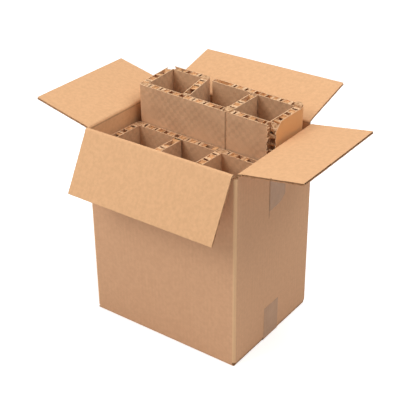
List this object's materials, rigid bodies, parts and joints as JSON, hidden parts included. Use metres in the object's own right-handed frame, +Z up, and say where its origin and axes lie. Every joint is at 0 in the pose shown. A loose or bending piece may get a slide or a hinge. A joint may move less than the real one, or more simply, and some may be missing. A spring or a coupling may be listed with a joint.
{
  "type": "bottle shipping box",
  "caption": "Open slotted corrugated carton holding two folded honeycomb board inserts that form upright cells for bottles, the rear insert raised.",
  "frame": {"origin": "under the middle of the carton's floor, on the surface that it stands on", "axes": "+X along the long side to the right, +Y to the rear, +Z up"},
  "size_m": [0.5595, 0.4249, 0.428],
  "materials": {
    "kraft_board": "plain brown kraft liner, matte, faint flute lines",
    "honeycomb_board": "grey-brown recycled liner over an open paper honeycomb core",
    "tape": "thin clear brown packing tape, slightly glossy"
  },
  "bodies": {
    "carton": {"carton_body": "kraft_board", "bottom_tape": "tape", "old_tape": "tape", "bottom_pad": "honeycomb_board", "front_insert_left_strip": "honeycomb_board", "front_insert_right_strip": "honeycomb_board", "rear_insert_left_strip": "honeycomb_board", "rear_insert_right_strip": "honeycomb_board"},
    "front_flap": {"front_flap": "kraft_board"},
    "rear_flap": {"rear_flap": "kraft_board"},
    "left_flap": {"left_flap": "kraft_board"},
    "right_flap": {"right_flap": "kraft_board"}
  },
  "joints": [
    {"name": "front_flap_fold", "type": "hinge", "parent": "carton", "child": "front_flap", "pos_m": [0, -0.1225, 0.387], "axis": [-1, 0, 0], "range_deg": [-24, 241.4]},
    {"name": "rear_flap_fold", "type": "hinge", "parent": "carton", "child": "rear_flap", "pos_m": [0, 0.1225, 0.387], "axis": [1, 0, 0], "range_deg": [-100, 75.3]},
    {"name": "left_flap_fold", "type": "hinge", "parent": "carton", "child": "left_flap", "pos_m": [-0.16, 0, 0.383], "axis": [0, 1, 0], "range_deg": [-98, 77.3]},
    {"name": "right_flap_fold", "type": "hinge", "parent": "carton", "child": "right_flap", "pos_m": [0.16, 0, 0.383], "axis": [0, -1, 0], "range_deg": [-93, 81.1]}
  ]
}
